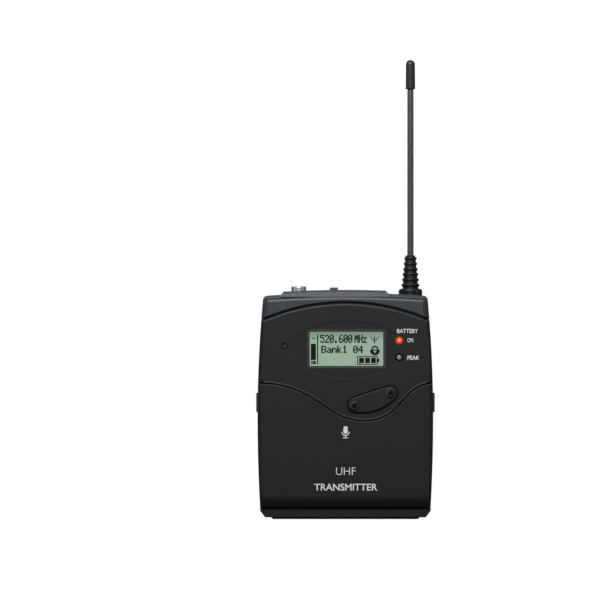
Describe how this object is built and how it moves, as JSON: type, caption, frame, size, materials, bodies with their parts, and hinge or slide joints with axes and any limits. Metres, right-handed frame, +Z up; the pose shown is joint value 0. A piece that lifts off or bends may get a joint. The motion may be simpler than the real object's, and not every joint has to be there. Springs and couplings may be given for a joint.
{
  "type": "wireless bodypack transmitter",
  "caption": "Belt-worn radio microphone transmitter: slim case with display, rocker key, top socket and mute switch, whip antenna, swing-down battery door and wire belt clip.",
  "frame": {"origin": "centre of the flat foot that the case stands on, mid-width and mid-depth", "axes": "+X across the front to the right as seen from the front, +Y from the front face to the back, +Z up towards the antenna"},
  "size_m": [0.064, 0.031, 0.1652],
  "materials": {
    "case_black": "fine satin moulded texture",
    "door_black": "fine satin moulded texture",
    "cap_graphite": "satin graphite grey",
    "bezel_black": "satin",
    "window_clear": "polished",
    "display_green": "reflective liquid crystal",
    "frame_steel": "bright",
    "diffuser_white": "matte",
    "lens_red": "lit",
    "lens_grey": "unlit",
    "sleeve_black": "matte",
    "led_white": "matte",
    "infrared_black": "polished",
    "key_rubber": "matte",
    "board_green": "solder mask",
    "chip_black": "matte",
    "shield_tin": "tinned",
    "capacitor_aluminium": "satin",
    "connector_ivory": "matte",
    "jack_nickel": "turned",
    "jack_black": "matte",
    "knob_black": "satin",
    "antenna_rubber": "matte",
    "antenna_sheath": "satin",
    "ferrule_brass": "turned",
    "tray_black": "matte",
    "cell_jacket": "printed sleeve",
    "spring_steel": "nickel plated",
    "contact_gold": "gold plated",
    "pin_steel": "ground",
    "catch_black": "satin",
    "clip_steel": "black chromed wire",
    "label_grey": "blank printed foil",
    "screw_steel": "black zinc"
  },
  "bodies": {
    "root": {"rear_shell": "case_black", "front_shell": "case_black", "top_cap": "cap_graphite", "display_bezel": "bezel_black", "display_lens": "window_clear", "lcd_glass": "display_green", "lcd_frame": "frame_steel", "lcd_backlight": "diffuser_white", "light_pipe_power": "lens_red", "light_pipe_peak": "lens_grey", "light_pipe_sleeves": "sleeve_black", "indicator_leds": "led_white", "infrared_window": "infrared_black", "rocker_pivot_pin": "pin_steel", "rocker_switches": "chip_black", "key_switches": "chip_black", "front_board": "board_green", "main_board": "board_green", "shield_can": "shield_tin", "board_chips": "chip_black", "board_capacitors": "capacitor_aluminium", "board_connector": "connector_ivory", "jack_collar": "jack_nickel", "jack_body": "jack_black", "mute_switch": "jack_black", "antenna_boot": "antenna_rubber", "antenna_whip": "antenna_sheath", "antenna_tip": "antenna_rubber", "antenna_ferrule": "ferrule_brass", "antenna_feed": "contact_gold", "battery_tray": "tray_black", "battery_cell_upper": "cell_jacket", "battery_cell_lower": "cell_jacket", "battery_spring_upper": "spring_steel", "battery_spring_lower": "spring_steel", "contact_plates": "spring_steel", "charging_contacts": "contact_gold", "hinge_pin": "pin_steel", "rear_label": "label_grey", "case_screws": "screw_steel"},
    "door": {"battery_door": "door_black", "catch_spring_right": "spring_steel", "catch_spring_left": "spring_steel"},
    "catch_right": {"catch_right": "catch_black"},
    "catch_left": {"catch_left": "catch_black"},
    "rocker": {"rocker_key": "key_rubber"},
    "set_key": {"set_key": "key_rubber"},
    "power_key": {"power_key": "key_rubber"},
    "mute": {"mute_knob": "knob_black"},
    "clip": {"belt_clip": "clip_steel"}
  },
  "joints": [
    {"name": "door_hinge", "type": "hinge", "parent": "root", "child": "door", "pos_m": [0, -0.0097, 0.0053], "axis": [1, 0, 0], "range_deg": [0, 90]},
    {"name": "catch_left_press", "type": "slide", "parent": "door", "child": "catch_left", "axis": [1, 0, 0], "range_m": [0, 0.0009], "stiffness_N_per_m": 1500, "springref_m": -0.0005, "deforming": ["catch_spring_left"]},
    {"name": "catch_right_press", "type": "slide", "parent": "door", "child": "catch_right", "axis": [-1, 0, 0], "range_m": [0, 0.0009], "stiffness_N_per_m": 1500, "springref_m": -0.0005, "deforming": ["catch_spring_right"]},
    {"name": "rocker_tilt", "type": "hinge", "parent": "root", "child": "rocker", "pos_m": [0.0098, -0.0092, 0.0431], "axis": [-0.3117, 0, 0.9502], "range_deg": [-2.5, 2.5], "stiffness_Nm_per_rad": 0.3},
    {"name": "set_key_press", "type": "slide", "parent": "root", "child": "set_key", "axis": [0, 1, 0], "range_m": [0, 0.0003], "stiffness_N_per_m": 3000, "springref_m": -0.0001},
    {"name": "power_key_press", "type": "slide", "parent": "root", "child": "power_key", "axis": [0, 1, 0], "range_m": [0, 0.0003], "stiffness_N_per_m": 3000, "springref_m": -0.0001},
    {"name": "mute_slide", "type": "slide", "parent": "root", "child": "mute", "axis": [1, 0, 0], "range_m": [0, 0.003]},
    {"name": "clip_hinge", "type": "hinge", "parent": "root", "child": "clip", "pos_m": [0, 0.0094, 0.056], "axis": [1, 0, 0], "range_deg": [0, 12], "stiffness_Nm_per_rad": 1, "springref_deg": -5.73}
  ]
}
